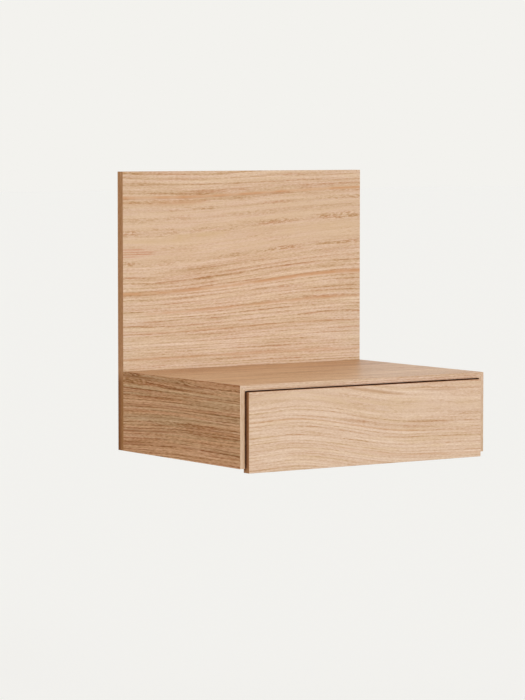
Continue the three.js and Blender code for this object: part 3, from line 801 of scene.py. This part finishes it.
PLASTIC_BLACK = linear(28, 28, 29)
PLASTIC_GREY = linear(44, 44, 46)
PLASTIC_GRAIN = (0.3, 0.3, 0.3)
PLASTIC_ROUGHNESS = 0.48
PLASTIC_ROUGHNESS_CHANGE = 0.14
PLASTIC_DEPTH = 0.04


def beech(name):
    """Raw beech with short dark flecks along the dowel."""
    graph = Graph(name)
    place = graph.axes("Object", MM)
    streak = graph.solid_noise(place, BEECH_STREAKS, FINE_DETAIL)
    flecks = graph.step(graph.solid_noise(place, BEECH_FLECKS), *BEECH_FLECK_STEP)
    colour = graph.mix(streak, BEECH_PALE, BEECH_DARK)
    colour = graph.mix(flecks * BEECH_FLECK_SHARE, colour, BEECH_FLECK)
    roughness = streak * BEECH_ROUGHNESS_CHANGE + BEECH_ROUGHNESS
    return graph.surface(colour, roughness, streak - flecks, BEECH_DEPTH)


def steel(name, light, dark, rough, mark):
    """Plated steel with a cloudy plating, and rolling marks along y whose length is mark."""
    graph = Graph(name)
    place = graph.axes("Object", MM)
    marks = graph.solid_noise(place, (ROLLING_MARK, mark, ROLLING_MARK), FINE_DETAIL)
    cloud = graph.solid_noise(place, CLOUDS)
    colour = graph.mix(graph.step(cloud, *CLOUD_STEP), light, dark)
    colour = graph.mix(marks * ROLLING_SHARE, colour, dark)
    dull = marks * ROLLING_DULLNESS + graph.step(cloud, *CLOUD_DULL_STEP) * CLOUD_DULLNESS
    return graph.surface(colour, dull + rough, marks, STEEL_DEPTH, metallic=1.0)


def black_plastic(name):
    """Moulded plastic with a fine spark-eroded grain."""
    graph = Graph(name)
    grain = graph.solid_noise(graph.axes("Object", MM), PLASTIC_GRAIN, FINE_DETAIL)
    colour = graph.mix(grain, PLASTIC_BLACK, PLASTIC_GREY)
    roughness = grain * PLASTIC_ROUGHNESS_CHANGE + PLASTIC_ROUGHNESS
    return graph.surface(colour, roughness, grain, PLASTIC_DEPTH)


# Materials of the pieces

# The axes along the grain of each board of the drawer box, across it and through it
BOX_BOARDS = {
    "drawer_inner_front": "xzy",
    "drawer_back": "xzy",
    "drawer_left_side": "yzx",
    "drawer_right_side": "yzx",
    "drawer_bottom": "xyz",
}
WHOLE_NAMES = {name: oak(board) for name, board in BOARDS.items()}
for name, axes in BOX_BOARDS.items():
    WHOLE_NAMES[name] = birch(f"{name}_birch", axes, box_corner(name, LOW)["xyz".index(axes[2])])
WORDS = {
    "dowel": beech("dowel_beech"),
    "screw": steel("screw_zinc", linear(212, 214, 218), linear(176, 182, 190), rough=0.22, mark=1.5),
    "cage": steel("ball_chrome", linear(222, 223, 224), linear(196, 198, 200), rough=0.14, mark=4.0),
    "lever": black_plastic("lever_black"),
    "hanger": steel("hanger_zinc", linear(205, 207, 208), linear(170, 173, 176), rough=0.34, mark=6.0),
    "runner": steel("runner_zinc", linear(208, 211, 214), linear(176, 180, 184), rough=0.26, mark=30.0),
}


def material_of(name):
    """The material of a node, by its whole name or by the first of the words that is in it."""
    return WHOLE_NAMES.get(name) or next(WORDS[word] for word in WORDS if word in name)


# Finish of the edges

# Angles between faces, in degrees: smooth shading and whole flats below, eased edges above
SMOOTH_BELOW = 32.0
FLAT_BELOW = 0.5
EASED_ABOVE = 60.0
EASE_SEGMENTS = 2

# Points of the CAD faces that lie this close, in millimetres, are one point
SAME_POINT = 0.001

# How far the edges of boards and plates are eased, in millimetres. The other boards of the cabinet stay
# sharp, because a bevel would shorten their mitres and leave stray faces at the bottom panel's dowel holes.
EASES = {
    "wall_panel": 0.25,
    "drawer_front": 0.5,
    "drawer_inner_front": 0.4,
    "drawer_back": 0.4,
    "drawer_left_side": 0.3,
    "drawer_right_side": 0.3,
    "drawer_bottom": 0.3,
    "left_hanger_plate": 0.3,
    "right_hanger_plate": 0.3,
}


def rounded_shading():
    """A modifier's node tree that smooths the shading of faces that meet at a small angle."""
    tree = bpy.data.node_groups.new("rounded_shading", "GeometryNodeTree")
    tree.interface.new_socket("Geometry", in_out="INPUT", socket_type="NodeSocketGeometry")
    tree.interface.new_socket("Geometry", in_out="OUTPUT", socket_type="NodeSocketGeometry")
    start = tree.nodes.new("NodeGroupInput")
    smooth = tree.nodes.new("GeometryNodeSetShadeSmooth")
    sharp = tree.nodes.new("GeometryNodeSetShadeSmooth")
    sharp.domain = "EDGE"
    sharp.inputs["Shade Smooth"].default_value = False
    angle = tree.nodes.new("GeometryNodeInputMeshEdgeAngle")
    above = tree.nodes.new("FunctionNodeCompare")
    above.operation = "GREATER_THAN"
    above.inputs[1].default_value = math.radians(SMOOTH_BELOW)
    end = tree.nodes.new("NodeGroupOutput")
    tree.links.new(start.outputs[0], smooth.inputs["Geometry"])
    tree.links.new(smooth.outputs[0], sharp.inputs["Geometry"])
    tree.links.new(angle.outputs["Unsigned Angle"], above.inputs[0])
    tree.links.new(above.outputs[0], sharp.inputs["Selection"])
    tree.links.new(sharp.outputs[0], end.inputs[0])
    return tree


def ease_edges(obj, ease):
    """Join the triangles of each flat and bevel the sharp edges between flats."""
    flats = obj.modifiers.new("whole_flats", "DECIMATE")
    flats.decimate_type = "DISSOLVE"
    flats.angle_limit = math.radians(FLAT_BELOW)
    bevel = obj.modifiers.new("eased_edges", "BEVEL")
    bevel.width = ease / MM
    bevel.segments = EASE_SEGMENTS
    bevel.limit_method = "ANGLE"
    bevel.angle_limit = math.radians(EASED_ABOVE)
    bevel.use_clamp_overlap = False


shading = rounded_shading()
for name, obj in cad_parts.items():
    obj.data.materials.clear()
    obj.data.materials.append(material_of(name))
    obj.modifiers.new("joined_faces", "WELD").merge_threshold = SAME_POINT / MM
    if name in EASES:
        ease_edges(obj, EASES[name])
    obj.modifiers.new("rounded_shading", "NODES").node_group = shading
    obj.modifiers.new("flat_faces_flat", "WEIGHTED_NORMAL").keep_sharp = True


# Studio: a pale floor well below the object, a pale surround and soft light from the front

def seen_directly(tree):
    """1 for rays that show the background itself, in the camera, in gloss or through glass."""
    path = tree.nodes.new("ShaderNodeLightPath")
    total = path.outputs["Is Camera Ray"]
    for name in ("Is Glossy Ray", "Is Transmission Ray"):
        join = tree.nodes.new("ShaderNodeMath")
        join.operation = "MAXIMUM"
        tree.links.new(total, join.inputs[0])
        tree.links.new(path.outputs[name], join.inputs[1])
        total = join.outputs[0]
    return total


def either(tree, share, first, second):
    """The first shader where share is 0 and the second where it is 1."""
    choice = tree.nodes.new("ShaderNodeMixShader")
    for socket, source in zip(choice.inputs, (share, first, second)):
        tree.links.new(source, socket)
    return choice.outputs[0]


def make_world():
    """Even light from all sides, with the background's colour where the camera sees it."""
    world = bpy.data.worlds.new("studio")
    bpy.context.scene.world = world
    world.use_nodes = True
    tree = world.node_tree
    tree.nodes.clear()
    shown = tree.nodes.new("ShaderNodeBackground")
    shown.inputs["Color"].default_value = linear(*BACKGROUND)
    sky = tree.nodes.new("ShaderNodeBackground")
    sky.inputs["Color"].default_value = (*SKY_COLOUR, 1.0)
    sky.inputs["Strength"].default_value = SKY_STRENGTH
    output = tree.nodes.new("ShaderNodeOutputWorld")
    surface = either(tree, seen_directly(tree), sky.outputs[0], shown.outputs[0])
    tree.links.new(surface, output.inputs["Surface"])


def floor_material():
    """Paper as bright as the background, and clear from below.

    The light that falls on it keeps its shadows, and a glow adds the rest of its brightness.
    """
    material = bpy.data.materials.new("floor_paper")
    material.use_nodes = True
    tree = material.node_tree
    tree.nodes.clear()
    diffuse = tree.nodes.new("ShaderNodeBsdfDiffuse")
    diffuse.inputs["Color"].default_value = (FLOOR_ALBEDO, FLOOR_ALBEDO, FLOOR_ALBEDO, 1.0)
    glow = tree.nodes.new("ShaderNodeEmission")
    shown = zip(linear(*BACKGROUND), FLOOR_LIGHT)
    glow.inputs["Color"].default_value = (*[part - FLOOR_ALBEDO * light for part, light in shown], 1.0)
    tree.links.new(seen_directly(tree), glow.inputs["Strength"])
    both = tree.nodes.new("ShaderNodeAddShader")
    tree.links.new(diffuse.outputs[0], both.inputs[0])
    tree.links.new(glow.outputs[0], both.inputs[1])
    clear = tree.nodes.new("ShaderNodeBsdfTransparent")
    side = tree.nodes.new("ShaderNodeNewGeometry")
    output = tree.nodes.new("ShaderNodeOutputMaterial")
    surface = either(tree, side.outputs["Backfacing"], both.outputs[0], clear.outputs[0])
    tree.links.new(surface, output.inputs["Surface"])
    return material


def add_floor():
    half = FLOOR_SIZE / 2
    level = cad_box[0][2] - FLOOR_DEPTH
    mesh = bpy.data.meshes.new("floor")
    corners = [(-half, -half, level), (half, -half, level), (half, half, level), (-half, half, level)]
    mesh.from_pydata(corners, [], [(0, 1, 2, 3)])
    mesh.materials.append(floor_material())
    floor = bpy.data.objects.new("floor", mesh)
    bpy.context.scene.collection.objects.link(floor)
    floor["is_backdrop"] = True


def add_lamp(lamp):
    data = bpy.data.lights.new(lamp.name, "SUN")
    data.energy = lamp.strength * math.pi
    data.color = lamp.colour
    data.angle = math.radians(lamp.width)
    obj = bpy.data.objects.new(lamp.name, data)
    obj.rotation_euler = (math.radians(90 - lamp.elevation), 0, math.radians(lamp.azimuth))
    bpy.context.scene.collection.objects.link(obj)


def add_camera():
    data = bpy.data.cameras.new("camera")
    data.sensor_width = CAMERA_SENSOR
    data.lens = CAMERA_LENS
    camera = bpy.data.objects.new("camera", data)
    camera.location = CAMERA_PLACE
    camera.rotation_euler = (math.radians(90 + CAMERA_PITCH), 0, math.radians(CAMERA_YAW))
    bpy.context.scene.collection.objects.link(camera)
    bpy.context.scene.camera = camera


make_world()
add_floor()
for lamp in LAMPS:
    add_lamp(lamp)
add_camera()
bpy.context.scene.view_settings.view_transform = "Standard"

boxes = {"cad": cad_box, "visual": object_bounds()}
{name: [list(corner) for corner in box] for name, box in boxes.items()}
